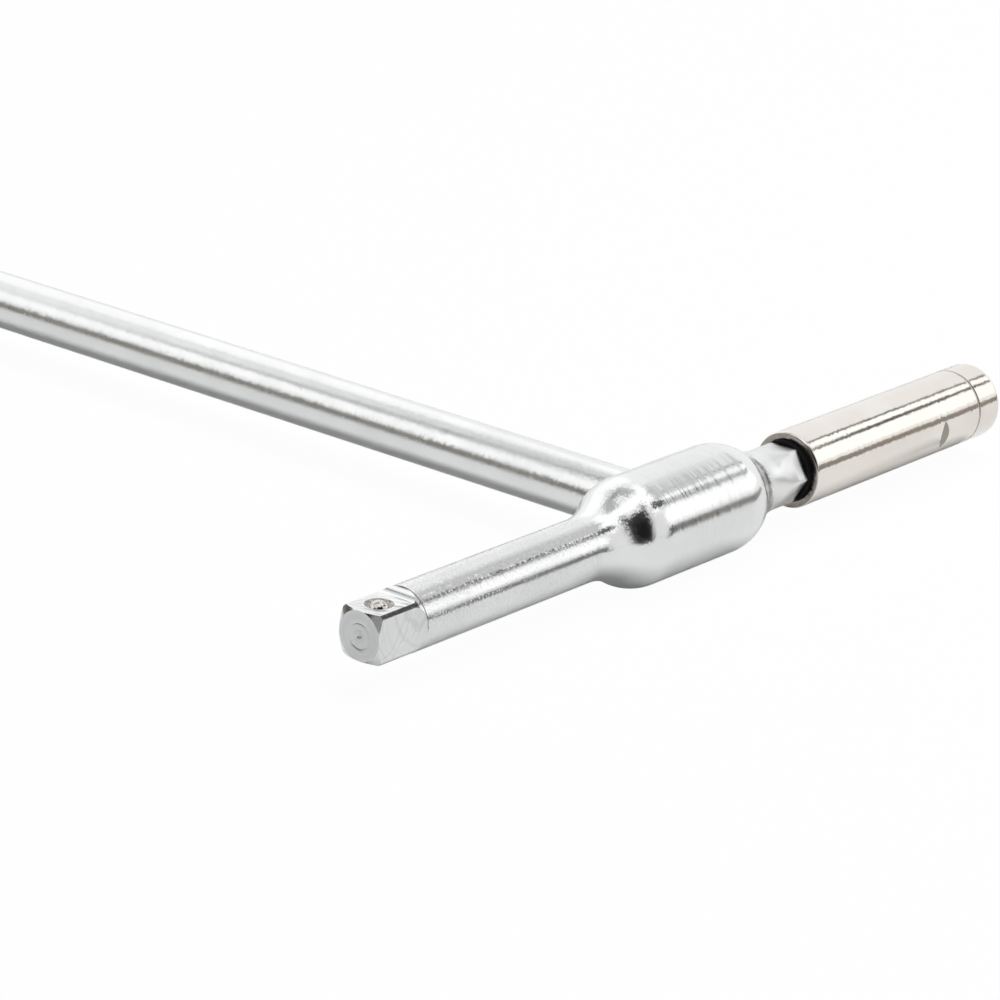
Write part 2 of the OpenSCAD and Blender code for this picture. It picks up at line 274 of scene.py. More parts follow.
def places(s):
    """Lengths that follow from the sizes, with x along the drive axis."""
    p = SimpleNamespace()
    p.arm_r = s.arm_d / 2
    p.barrel_r = s.barrel_d / 2
    p.flare_angle = math.acos(1 - (p.barrel_r - p.arm_r) / (s.crown_r + s.root_r))
    p.flare_len = (s.crown_r + s.root_r) * math.sin(p.flare_angle)
    p.barrel_end = s.drive_reach + s.barrel_len / 2
    p.flat_z = s.square_af / 2
    p.ball_r = s.ball_d / 2
    p.hole_r = p.ball_r + s.ball_side_gap
    p.lip_r = p.ball_r - s.lip_reach
    p.lip_z = p.flat_z - s.dish_depth
    p.floor_z = s.hole_floor - p.flat_z
    p.ball_z = p.lip_z - math.sqrt((p.ball_r + s.ball_lip_gap) ** 2 - p.lip_r ** 2)
    wire_r = s.spring_wire / 2
    p.coil_r = p.hole_r - s.spring_side_gap - wire_r
    p.coil_low_z = p.floor_z + s.spring_seat_gap + wire_r
    seat_r = p.ball_r + s.spring_seat_gap + wire_r
    p.coil_high_z = p.ball_z - math.sqrt(seat_r ** 2 - p.coil_r ** 2)
    p.coil_turns = (p.coil_high_z - p.coil_low_z) / s.spring_pitch
    p.flats_x = s.drive_reach + s.hex_start
    p.groove_x = p.flats_x + s.hex_land
    p.groove_end_x = p.groove_x + s.band_w + 2 * s.band_side_gap
    p.groove_r = p.arm_r - s.band_t
    p.mouth_x = p.groove_x + s.band_show
    p.arm_end_x = p.mouth_x + s.arm_engage
    p.socket_floor_x = p.arm_end_x + s.arm_end_gap
    p.magnet_x = p.socket_floor_x + s.sleeve_web
    p.bit_floor_x = p.magnet_x + s.magnet_t
    p.nose_x = p.bit_floor_x + s.bit_depth
    p.clip_x = p.nose_x - s.clip_from_nose
    p.notch_x = p.nose_x - s.notch_from_nose
    p.sleeve_r = s.sleeve_d / 2
    p.mouth_r = p.arm_r + s.mouth_gap
    p.clip_groove = s.clip_wire + 2 * s.clip_gap
    p.clip_r = p.sleeve_r - p.clip_groove / 2
    p.bit_corner_r = corner_radius(s.bit_af + s.bit_gap)
    p.bar_r = s.bar_d / 2
    p.spigot_r = p.bar_r - s.spigot_step / 2
    p.bar_start = p.barrel_r + s.bar_standoff
    # Painted shade on the square's upper corners up to the fillets, and a painted shadow line at the
    # shoulder
    p.corner_end = s.square_len - s.shoulder_fillet / 2
    p.line_start = s.square_len - SHOULDER_LINE
    p.square_end = s.square_len + SKIN
    p.rod_end = 2 * s.drive_reach - p.barrel_end - p.flare_len
    p.neck_start = p.barrel_end + NECK_SHARE * p.flare_len
    p.dish_r = p.lip_r + s.dish_w
    return p


def arc(centre, radius, start, end, steps=ARC_STEPS):
    """Points of a profile arc between two angles in degrees."""
    turns = [math.radians(start + (end - start) * i / steps) for i in range(steps + 1)]
    return [(centre[0] + radius * math.cos(a), centre[1] + radius * math.sin(a)) for a in turns]


def move(bm, by):
    """Moves a whole shape."""
    bmesh.ops.translate(bm, verts=bm.verts, vec=by)


def rotate(bm, by, axis="X"):
    """Turns a whole shape about an axis through the origin."""
    bmesh.ops.rotate(bm, verts=bm.verts, cent=(0, 0, 0), matrix=Matrix.Rotation(by, 3, axis))


def sweep(bm, geometry, centre, axis, by, steps, rise=0.0, merge=False):
    """Spins points, edges and faces about an axis, and returns those at the end."""
    return bmesh.ops.spin(
        bm, geom=geometry, cent=centre, axis=axis, dvec=(0, 0, rise), angle=by, steps=steps,
        use_merge=merge, use_duplicate=False)["geom_last"]


def round_edges(bm, edges, radius, steps):
    """Rounds edges of a shape."""
    bmesh.ops.bevel(
        bm, geom=edges, offset=radius, offset_type="OFFSET", affect="EDGES", segments=steps,
        profile=0.5, material=-1, clamp_overlap=True)


def lathe(points, along="X", at=(0, 0, 0), segments=ROUND_SEGMENTS, closed=False):
    """Turns a profile of (distance along the axis, radius) into a closed shape."""
    axis, spot = {
        "X": (X_AXIS, lambda a, r: (a, 0, r)),
        "Y": (Y_AXIS, lambda a, r: (r, a, 0)),
        "Z": (Z_AXIS, lambda a, r: (r, 0, a)),
    }[along]
    bm = bmesh.new()
    verts = [bm.verts.new(spot(a, r)) for a, r in points]
    pairs = list(zip(verts, verts[1:])) + ([(verts[-1], verts[0])] if closed else [])
    edges = [bm.edges.new(pair) for pair in pairs]
    sweep(bm, verts + edges, (0, 0, 0), axis, TURN, segments, merge=True)
    bmesh.ops.remove_doubles(bm, verts=bm.verts, dist=SAME)
    bmesh.ops.recalc_face_normals(bm, faces=bm.faces)
    move(bm, at)
    return bm


def prism(x0, x1, radius, sides):
    """Prism along the drive axis. With six sides its corners lie on +Y and -Y."""
    bm = bmesh.new()
    bmesh.ops.create_cone(
        bm, cap_ends=True, segments=sides, radius1=radius, radius2=radius, depth=x1 - x0)
    rotate(bm, QUARTER, "Y")
    move(bm, ((x0 + x1) / 2, 0, 0))
    return bm


def milling_cutter(x0, x1, depth_z, height, half_width, rounding, round_x, turn, steps):
    """Block above depth_z whose lower edge at round_x is rounded, turned about the drive axis."""
    bm = bmesh.new()
    bmesh.ops.create_cube(bm, size=1.0)
    bmesh.ops.scale(bm, verts=bm.verts, vec=(x1 - x0, 2 * half_width, height))
    move(bm, ((x0 + x1) / 2, 0, depth_z + height / 2))
    edge = [e for e in bm.edges if all(
        abs(v.co.x - round_x) < SAME and abs(v.co.z - depth_z) < SAME for v in e.verts)]
    round_edges(bm, edge, rounding, steps)
    rotate(bm, turn)
    return bm


def facing(bm, x, direction):
    """Moves a shape made round +Z to x on the drive axis, facing an angle from +Y towards +Z."""
    rotate(bm, direction - QUARTER)
    move(bm, (x, 0, 0))
    return bm


def new_object(name, bm):
    """Puts a bmesh into an object at the origin."""
    mesh = bpy.data.meshes.new(name)
    bm.to_mesh(mesh)
    bm.free()
    obj = bpy.data.objects.new(name, mesh)
    bpy.context.scene.collection.objects.link(obj)
    return obj


def cut(obj, shapes):
    """Cuts shapes that don't overlap each other out of an object, in one go."""
    whole = bmesh.new()
    for bm in shapes:
        part = bpy.data.meshes.new("cutter_part")
        bm.to_mesh(part)
        bm.free()
        whole.from_mesh(part)
        bpy.data.meshes.remove(part)
    cutter = new_object("cutter", whole)
    step = obj.modifiers.new("cut", "BOOLEAN")
    step.operation = "DIFFERENCE"
    step.solver = "EXACT"
    step.object = cutter
    graph = bpy.context.evaluated_depsgraph_get()
    mesh = bpy.data.meshes.new_from_object(obj.evaluated_get(graph))
    if not mesh.polygons:
        raise RuntimeError(f"nothing is left of {obj.name} after a cut")
    old, spent = obj.data, cutter.data
    obj.modifiers.clear()
    obj.data = mesh
    bpy.data.meshes.remove(old)
    mesh.name = obj.name
    bpy.data.objects.remove(cutter)
    bpy.data.meshes.remove(spent)


def shade(obj):
    """Smooth faces, with crisp edges where two faces meet at a clear angle."""
    bm = bmesh.new()
    bm.from_mesh(obj.data)
    bmesh.ops.remove_doubles(bm, verts=bm.verts, dist=WELD)
    bmesh.ops.dissolve_degenerate(bm, edges=bm.edges, dist=SAME)
    for face in bm.faces:
        face.smooth = True
    for edge in bm.edges:
        edge.smooth = len(edge.link_faces) == 2 and edge.calc_face_angle() < CRISP_ANGLE
    bm.to_mesh(obj.data)
    bm.free()


def finish_piece(obj, body, node, slot, *materials):
    """Gives a piece its finishes, its body and the solid that it stands for."""
    for material in materials:
        obj.data.materials.append(material)
    shade(obj)
    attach(obj, body)
    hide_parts(node)


def dim(colour, by):
    """A colour times a factor."""
    return [c * by for c in colour]


def node_maker(owner):
    """Clears the nodes of a material or a world, and returns functions that add to them."""
    owner.use_nodes = True
    nodes, links = owner.node_tree.nodes, owner.node_tree.links
    nodes.clear()

    def add(kind, inputs=None, **settings):
        """A node with its settings. Inputs: name or number of each, with a value or an output."""
        node = nodes.new("ShaderNode" + kind)
        for key, value in settings.items():
            setattr(node, key, value)
        for key, value in (inputs or {}).items():
            if isinstance(value, bpy.types.NodeSocket):
                links.new(value, node.inputs[key])
            else:
                node.inputs[key].default_value = value
        return node

    def number(operation, *values):
        """Result of a calculation with plain values and outputs."""
        return add("Math", dict(enumerate(values)), operation=operation).outputs[0]

    return add, number


def new_material(name):
    """A new material, and the functions that add its nodes."""
    material = bpy.data.materials.new(name)
    return material, *node_maker(material)


def plated(name, bright, dull, rough, marks=(), rings=(), edge=0.0, worn=None, wear=0.0):
    """Plated metal with a cloudy polish.

    marks: tool marks round an axis, as (axis, marks per metre along it, per metre across it,
    direction in which they tilt the surface, strength). rings: tool marks round a point, as
    (centre, axes that count, rings per metre, wander, strength). edge: rounding that softens
    every edge. worn: colour in the depth of the marks, and wear: how far they turn to it.
    """
    material, add, number = new_material(name)

    def vector(operation, *values):
        return add("VectorMath", dict(enumerate(values)), operation=operation).outputs["Vector"]

    def blend(factor, first, second):
        # Numbers of the colours among the inputs of a Mix node, and of its colour output
        return add("Mix", {0: factor, 6: first, 7: second}, data_type="RGBA").outputs[2]

    def tilt(before, direction, noise, strength):
        """Leans a normal towards a direction by a noise that is even about zero."""
        gain = number("MULTIPLY", number("SUBTRACT", noise, 0.5), strength)
        lean = add("VectorMath", {0: direction, "Scale": gain}, operation="SCALE")
        turned = add("VectorTransform", {0: lean.outputs["Vector"]}, vector_type="VECTOR",
                     convert_from="OBJECT", convert_to="WORLD")
        return vector("NORMALIZE", vector("ADD", before, turned.outputs[0]))

    place = add("TexCoord").outputs["Object"]
    patches = add("TexNoise", {"Vector": place, "Scale": 70.0, "Detail": 4.0, "Roughness": 0.55})
    patches = patches.outputs["Fac"]
    spread = add("MapRange", {"Value": patches, "From Min": 0.35, "From Max": 0.75})
    paint = blend(spread.outputs["Result"], (*bright, 1), (*dull, 1))
    polish = add("MapRange", {
        "Value": patches, "From Min": 0.3, "From Max": 0.7,
        "To Min": rough * 0.85, "To Max": rough * 1.2})
    source = add("Bevel", {"Radius": edge}, samples=8) if edge else add("NewGeometry")
    normal = source.outputs["Normal"]
    grain = {"Detail": 2.0, "Roughness": 0.6}
    depths = []
    for axis, along, across, lean, strength in marks:
        stretch = add("Mapping", {
            "Vector": place, "Scale": [along if a == axis else across for a in "XYZ"]})
        noise = add("TexNoise", {"Vector": stretch.outputs["Vector"], "Scale": 1.0, **grain})
        depths.append(noise.outputs["Fac"])
        normal = tilt(normal, lean, depths[-1], strength)
    for centre, axes, per_metre, wander, strength in rings:
        flat = vector("MULTIPLY", vector("SUBTRACT", place, centre), axes)
        radius = add("VectorMath", {0: flat}, operation="LENGTH").outputs["Value"]
        sway = add("TexNoise", {"Vector": place, "Scale": 300.0, "Detail": 1.0})
        swayed = number("MULTIPLY_ADD", sway.outputs["Fac"], wander, radius)
        noise = add("TexNoise", {"W": swayed, "Scale": per_metre, **grain}, noise_dimensions="1D")
        depths.append(noise.outputs["Fac"])
        normal = tilt(normal, vector("NORMALIZE", flat), depths[-1], strength)
    for depth in depths if worn else ():
        turn = add("MapRange", {"Value": depth, "From Min": 0.5, "From Max": 0.7, "To Max": wear})
        paint = blend(turn.outputs["Result"], paint, (*worn, 1))
    shader = add("BsdfPrincipled", {
        "Base Color": paint, "Metallic": 1.0, "Roughness": polish.outputs["Result"],
        "Normal": normal})
    add("OutputMaterial", {"Surface": shader.outputs["BSDF"]})
    return material


def matt(name, colour, rough, grain, grain_scale):
    """Matt rubber with a fine pitted skin."""
    material, add, _ = new_material(name)
    place = add("TexCoord").outputs["Object"]
    skin = add("TexNoise", {
        "Vector": place, "Scale": grain_scale, "Detail": 3.0, "Roughness": 0.6}).outputs["Fac"]
    shades = add("ValToRGB", {"Fac": skin})
    for stop, factor in zip(shades.color_ramp.elements, (0.7, 1.6)):
        stop.color = (*dim(colour, factor), 1)
    worn = add("MapRange", {"Value": skin, "To Min": rough * 0.85, "To Max": rough * 1.1})
    bump = add("Bump", {"Strength": 0.6, "Distance": grain, "Height": skin})
    shader = add("BsdfPrincipled", {
        "Base Color": shades.outputs["Color"], "Roughness": worn.outputs["Result"],
        "Specular IOR Level": 0.12, "Normal": bump.outputs["Normal"]})
    add("OutputMaterial", {"Surface": shader.outputs["BSDF"]})
    return material


class DRIVEBAR_OT_crosshead(bpy.types.Operator):
    """Turn the crosshead and mill its square, its hexagon and its holes"""

    bl_idname = "drivebar.crosshead"
    bl_label = "Crosshead"

    def execute(self, context):
        s, f, p = settings_of(context)
        forging = new_object("crosshead_forging", lathe(self.profile(s, p)))
        self.mill(forging, s, p)
        finishes = self.finishes(s, f)
        finish_piece(forging, "crosshead", "crosshead", "satin_chrome", *finishes.values())
        order = list(finishes)
        for face in forging.data.polygons:
            face.material_index = order.index(self.zone(face.center, face.normal, s, p))
        return {"FINISHED"}

    def profile(self, s, p):
        """Profile of the forging, from the square's centre mark to the end of the hexagon arm."""
        # Shallow rings that facing leaves on the square's end: radius, width and depth in millimetres
        facing_rings = ((1.15, 0.35, 0.02), (2.4, 0.5, 0.08), (3.6, 0.4, 0.02))
        profile = [(s.centre_depth, 0), (0, s.centre_r)]
        for radius, width, depth in facing_rings:
            profile += [(0, (radius - width / 2) * MM), (depth * MM, radius * MM)]
            profile += [(0, (radius + width / 2) * MM)]
        profile += [(0, s.end_face_r), (s.end_chamfer, p.arm_r)]
        profile += [(x, p.arm_r) for x in (p.corner_end, p.line_start, p.square_end)]
        flare = math.degrees(p.flare_angle)
        crown = arc((p.barrel_end, p.barrel_r - s.crown_r), s.crown_r, 90, 90 - flare)
        root = arc((p.barrel_end + p.flare_len, p.arm_r + s.root_r), s.root_r, 270 - flare, 270)
        right = crown + root[1:]
        left = [(2 * s.drive_reach - x, r) for x, r in reversed(right)]
        profile += [(left[0][0] - HOLD, p.arm_r), *left, (left[-1][0] + HOLD, p.barrel_r)]
        profile += [(right[0][0] - HOLD, p.barrel_r), *right, (right[-1][0] + HOLD, p.arm_r)]
        profile += [(p.groove_x, p.arm_r), (p.groove_x, p.groove_r)]
        profile += [(p.groove_end_x, p.groove_r), (p.groove_end_x, p.arm_r)]
        profile += [(p.arm_end_x - s.arm_chamfer, p.arm_r)]
        return profile + [(p.arm_end_x, p.arm_r - s.arm_chamfer), (p.arm_end_x, 0)]

    def mill(self, forging, s, p):
        """Cuts the square, the hexagon, the ball's hole and the bar's bore."""

        def square_side(side):
            return milling_cutter(
                -OVER, s.square_len, p.flat_z, p.arm_r - p.flat_z + OVER, p.arm_r + OVER,
                s.shoulder_fillet, s.square_len, side * math.pi / 2, FILLET_STEPS)

        def hexagon_side(side):
            start = p.flats_x - s.runout_r
            return milling_cutter(
                start, p.arm_end_x + OVER, s.hex_af / 2, s.runout_r * OVER_ROUNDING,
                p.arm_r + OVER, s.runout_r, start, side * math.pi / 3, RUNOUT_STEPS)

        lip_start_z = p.lip_z - (p.hole_r - p.lip_r)
        ball_hole = lathe([
            (p.floor_z, 0), (p.floor_z, p.hole_r), (lip_start_z, p.hole_r), (p.lip_z, p.lip_r),
            (p.flat_z, p.dish_r), (p.flat_z + OVER, p.dish_r), (p.flat_z + OVER, 0)],
            along="Z", at=(s.ball_from_end, 0, 0), segments=HOLE_SEGMENTS)
        bar_bore = lathe([
            (-s.spigot_past, 0), (-s.spigot_past, p.spigot_r), (p.bar_start, p.spigot_r),
            (p.bar_start, 0)],
            along="Y", at=(s.drive_reach, 0, 0), segments=HOLE_SEGMENTS)
        # Cutters in one go don't touch each other
        cut(forging, [square_side(0), square_side(2), hexagon_side(0), hexagon_side(3), bar_bore])
        cut(forging, [square_side(1), square_side(3), hexagon_side(1), hexagon_side(4)])
        cut(forging, [hexagon_side(2), hexagon_side(5), ball_hole])

    def finishes(self, s, f):
        """Finishes of the crosshead by name, in the order of the material slots."""
        rough, soft = f.forging_rough, s.edge_soft
        chrome = f.chrome, f.chrome_dull
        # Centres of the arcs that the mill leaves on the square's flats
        mill_centres = (
            (s.square_len * 1.2, 6 * MM, 6 * MM), (-s.square_len * 0.3, -6 * MM, 6 * MM))
        return {
            "polished": plated(
                "satin_chrome_polished", *chrome, rough * 0.9, edge=3 * soft,
                marks=(("X", 3500, 2500, (0.7, 0.5, 0.5), 0.35),
                       ("X", 9000, 9000, (0.7, -0.5, 0.5), 0.3))),
            "turned": plated(
                "satin_chrome_turned", *chrome, rough, edge=soft, worn=f.chrome_worn, wear=0.15,
                marks=(("X", 1600, 40, (1, 0, 0), 0.25), ("X", 5000, 900, ROUND_LEAN, 0.08))),
            "ground": plated(
                "satin_chrome_rod", *chrome, rough, edge=soft, worn=f.chrome_worn, wear=0.4,
                marks=(("X", 3000, 1800, (0.9, 0.3, 0.3), 0.6),
                       ("X", 5000, 2000, ROUND_LEAN, 0.16))),
            "milled": plated(
                "satin_chrome_milled", *chrome, rough * 1.5, edge=soft, worn=f.chrome_worn,
                wear=0.3, rings=((mill_centres[0], (1, 1, 1), 1000, 0.0015, 0.4),
                                 (mill_centres[1], (1, 1, 1), 1200, 0.0015, 0.4))),
            "faced": plated(
                "satin_chrome_faced", f.end_face, dim(f.end_face, 0.9), rough * 1.6, edge=soft,
                worn=f.end_face_worn, wear=0.4,
                rings=(((0, 0, 0), (0, 1, 1), 1100, 0.0008, 0.5),)),
            "corners": plated("satin_chrome_corners", *chrome, rough),
            "dished": plated(
                "staked_steel", f.staked, dim(f.staked, 0.7), 0.2, worn=f.staked_dark, wear=1.0,
                marks=(("Z", 1500, 1500, (0.7, 0.7, 0), 1.5),
                       ("X", 2600, 2600, (0.7, -0.7, 0), 1.0))),
            "necked": plated(
                "satin_chrome_neck", *chrome, rough * 1.8, edge=8 * soft,
                marks=(("X", 2500, 1200, (0.5, 0.6, 0.6), 0.15),)),
            # Painted shade on the square's upper corners and its shoulder line
            "painted_shade_edge": plated(
                "satin_chrome_painted_shade_edge", f.painted_corner_shade, dim(f.painted_corner_shade, 0.8), rough,
                marks=(("X", 3000, 1500, ROUND_LEAN, 0.2),)),
        }

    def zone(self, centre, normal, s, p):
        """Name of the finish that a face gets, by its middle and its normal."""
        # Normals of the end face and the shoulder's fillets along x, and of the upper flat along z
        end_turned, fillet_turned, level = -0.5, -0.02, 0.999
        radius = math.hypot(centre.y, centre.z)
        if centre.x < s.end_chamfer and normal.x < end_turned:
            return "faced" if radius < s.end_face_r else "corners"
        if centre.x < p.square_end:
            if radius > p.arm_r - SKIN:
                # Lower corners stay plain; the upper ones and the shoulder line get painted shade
                if centre.z < 0:
                    return "corners"
                return "ground" if p.corner_end < centre.x < p.line_start else "painted_shade_edge"
            on_fillet = centre.x > s.square_len - s.shoulder_fillet and normal.x < fillet_turned
            if on_fillet and centre.z > abs(centre.y):
                return "corners"
            from_ball = math.hypot(centre.x - s.ball_from_end, centre.y)
            on_dish = from_ball < p.dish_r and centre.z > 0 and normal.z < level
            return "dished" if on_dish else "milled"
        if centre.x < p.rod_end:
            return "ground"
        if centre.x > p.neck_start:
            return "necked"
        return "turned" if abs(centre.x - s.drive_reach) < s.barrel_len / 2 else "polished"


class DRIVEBAR_OT_bar(bpy.types.Operator):
    """Turn the long bar with its pressed spigot"""

    bl_idname = "drivebar.bar"
    bl_label = "Bar"

    def execute(self, context):
        s, f, p = settings_of(context)
        profile = [
            (-s.spigot_past, 0), (-s.spigot_past, p.spigot_r - s.spigot_lead),
            (s.spigot_lead - s.spigot_past, p.spigot_r), (p.bar_start, p.spigot_r),
            (p.bar_start, p.bar_r), (s.bar_reach - s.bar_chamfer, p.bar_r),
            (s.bar_reach, p.bar_r - s.bar_chamfer), (s.bar_reach, 0)]
        bar = new_object("round_bar", lathe(profile, along="Y", at=(s.drive_reach, 0, 0)))
        lean = (0.7, 0, 0.7)
        ground = plated(
            "satin_chrome_ground", f.chrome, f.chrome_dull, f.bar_rough, edge=s.edge_soft,
            marks=(("Y", 3000, 1200, lean, 0.3), ("Y", 6000, 4000, lean, 0.25)))
        finish_piece(bar, "crosshead", "bar", "bar_chrome", ground)
        return {"FINISHED"}


class DRIVEBAR_OT_detent(bpy.types.Operator):
    """Make the detent ball and the spring under it"""

    bl_idname = "drivebar.detent"
    bl_label = "Detent"

    def execute(self, context):
        s, f, p = settings_of(context)
        bm = bmesh.new()
        bmesh.ops.create_icosphere(bm, subdivisions=5, radius=p.ball_r)
        move(bm, (s.ball_from_end, 0, p.ball_z))
        ball = new_object("detent_ball", bm)
        polished = plated("ball_steel_polished", f.steel, dim(f.steel, 0.9), rough=0.05)
        finish_piece(ball, "drive_ball", "drive_ball", "ball_steel", polished)

        wire_r = s.spring_wire / 2
        bm = bmesh.new()
        bmesh.ops.create_circle(bm, cap_ends=True, segments=SPRING_SEGMENTS, radius=wire_r)
        rotate(bm, QUARTER)
        move(bm, (s.ball_from_end + p.coil_r, 0, p.coil_low_z))
        steps = round(p.coil_turns * COIL_STEPS)
        sweep(bm, bm.verts[:] + bm.edges[:] + bm.faces[:], (s.ball_from_end, 0, 0), Z_AXIS,
              TURN * p.coil_turns, steps, rise=(p.coil_high_z - p.coil_low_z) / steps)
        bmesh.ops.recalc_face_normals(bm, faces=bm.faces)
        spring = new_object("detent_spring", bm)
        drawn = plated("spring_wire_drawn", f.wire, dim(f.wire, 0.8), rough=0.3)
        finish_piece(spring, "crosshead", "drive_spring", "spring_steel", drawn)
        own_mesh(spring)
        return {"FINISHED"}


class DRIVEBAR_OT_band(bpy.types.Operator):
    """Make the rubber friction band on the hexagon arm"""

    bl_idname = "drivebar.band"
    bl_label = "Friction band"

    def execute(self, context):
        s, f, p = settings_of(context)
        x0 = p.groove_x + s.band_side_gap
        x1 = x0 + s.band_w
        round_r = p.arm_r - s.band_round
        profile = [(x1, p.groove_r), (x0, p.groove_r)]
        profile += arc((x0 + s.band_round, round_r), s.band_round, 180, 90, BAND_STEPS)
        profile += arc((x1 - s.band_round, round_r), s.band_round, 90, 0, BAND_STEPS)
        band = new_object("friction_band", lathe(profile, closed=True, segments=DISC_SEGMENTS))
        pitted = matt("rubber_pitted", f.rubber, rough=0.75, grain=2e-5, grain_scale=2500.0)
        finish_piece(band, "crosshead", "arm_band", "black_rubber", pitted)
        return {"FINISHED"}


class DRIVEBAR_OT_sleeve(bpy.types.Operator):
    """Turn the bit sleeve and cut its sockets, its clip groove and its side notch"""

    bl_idname = "drivebar.sleeve"
    bl_label = "Bit sleeve"

    def execute(self, context):
        s, f, p = settings_of(context)
        sleeve = new_object("bit_sleeve", lathe(self.profile(s, p)))
        self.hollow(sleeve, s, p)
        polished = plated(
            "warm_nickel_polished", f.nickel, f.nickel_dull, f.sleeve_rough, edge=s.edge_soft,
            marks=(("X", 1300, 200, ROUND_LEAN, 0.09), ("X", 4000, 1500, ROUND_LEAN, 0.16)))
        # Painted reflection: the rim gets a darker, warmer colour for the shaded barrel and floor that
        # it mirrors
        rim = plated(
            "warm_nickel_rim_painted_reflection", f.rim, dim(f.rim, 0.8), 0.25, edge=s.edge_soft,
            marks=(("X", 1500, 1500, ROUND_LEAN, 0.6),))
        # Painted shade on the notch's wall that faces the mouth
        painted_notch_shade = plated("warm_nickel_notch_painted_shade", f.notch, dim(f.notch, 0.7), rough=0.25)
        finish_piece(sleeve, "sleeve", "sleeve", "warm_nickel", polished, rim, painted_notch_shade)
        rim_number, notch_number = 1, 2
        # Normals along x of the mouth's rim, and of the notch's wall that faces the mouth
        rim_turned, notch_turned = -0.6, -0.2
        side = Vector((0, math.cos(s.notch_angle), math.sin(s.notch_angle)))
        # The rim gets its painted reflection, and the notch's wall its painted shade
        for face in sleeve.data.polygons:
            x, turned = face.center.x, face.normal.x
            in_notch = 0 < x - p.notch_x < s.notch_w / 2 and face.center.dot(side) > p.mouth_r
            if x < p.mouth_x + s.mouth_chamfer and turned < rim_turned:
                face.material_index = rim_number
            elif in_notch and turned < notch_turned:
                face.material_index = notch_number
        return {"FINISHED"}

    def profile(self, s, p):
        """Profile of the solid sleeve with the clip's groove, from the mouth to the nose."""
        groove_start, groove_end = p.clip_x - p.clip_groove / 2, p.clip_x + p.clip_groove / 2
        groove_r = p.sleeve_r - p.clip_groove
        mouth = (p.mouth_x + s.mouth_round, p.sleeve_r - s.mouth_round)
        nose = (p.nose_x - s.nose_round, p.sleeve_r - s.nose_round)
        profile = [(p.mouth_x, 0), *arc(mouth, s.mouth_round, 180, 90, MOUTH_STEPS)]
        profile += [(profile[-1][0] + HOLD, p.sleeve_r)]
        profile += [(groove_start, p.sleeve_r), (groove_start, groove_r)]
        profile += [(groove_end, groove_r), (groove_end, p.sleeve_r)]
        profile += [(nose[0] - HOLD, p.sleeve_r)]
        return profile + [*arc(nose, s.nose_round, 90, 0, NOSE_STEPS), (p.nose_x, 0)]

    def hollow(self, sleeve, s, p):
        """Cuts the two sockets, the magnet's pocket, the clip's hole and the side notch."""
        chamfer_r = p.mouth_r + s.mouth_chamfer
        bore_end = p.groove_end_x + s.mouth_margin
        counterbore = lathe([
            (p.mouth_x - OVER, 0), (p.mouth_x - OVER, chamfer_r), (p.mouth_x, chamfer_r),
            (p.mouth_x + s.mouth_chamfer, p.mouth_r), (bore_end, p.mouth_r), (bore_end, 0)])
        lead_r, past_nose = p.bit_corner_r + s.bit_lead, p.nose_x + OVER
        lead_in = lathe([
            (p.nose_x - lead_r, 0), (p.nose_x, lead_r), (past_nose, lead_r), (past_nose, 0)])
        magnet_r, past_floor = s.magnet_d / 2, p.bit_floor_x + OVER
        pocket = lathe([
            (p.magnet_x, 0), (p.magnet_x, magnet_r), (past_floor, magnet_r), (past_floor, 0)],
            segments=DISC_SEGMENTS)
        hole_r = s.clip_wire / 2 + s.clip_gap
        clip_hole = facing(lathe(
            [(0, 0), (0, hole_r), (p.sleeve_r, hole_r), (p.sleeve_r, 0)],
            along="Z", segments=FINE_SEGMENTS), p.clip_x, s.clip_angle)
        # Diamond-shaped rod, laid across the side of the sleeve
        notch = bmesh.new()
        slope = math.tan(math.atan2(s.notch_depth * 2, s.notch_w))
        bmesh.ops.create_cone(
            notch, cap_ends=True, segments=4, radius1=s.notch_w, radius2=s.notch_w,
            depth=s.sleeve_d)
        rotate(notch, QUARTER)
        bmesh.ops.scale(notch, verts=notch.verts, vec=(1, 1, slope))
        move(notch, (0, 0, p.sleeve_r - s.notch_depth + s.notch_w * slope))
        bmesh.ops.recalc_face_normals(notch, faces=notch.faces)
        facing(notch, p.notch_x, s.notch_angle)
        arm_corner_r = corner_radius(s.hex_af + s.hex_gap)
        cut(sleeve, [
            prism(p.mouth_x - OVER, p.socket_floor_x, arm_corner_r, 6),
            prism(p.bit_floor_x, past_nose, p.bit_corner_r, 6), notch])
        cut(sleeve, [counterbore, lead_in, pocket])
        cut(sleeve, [clip_hole])


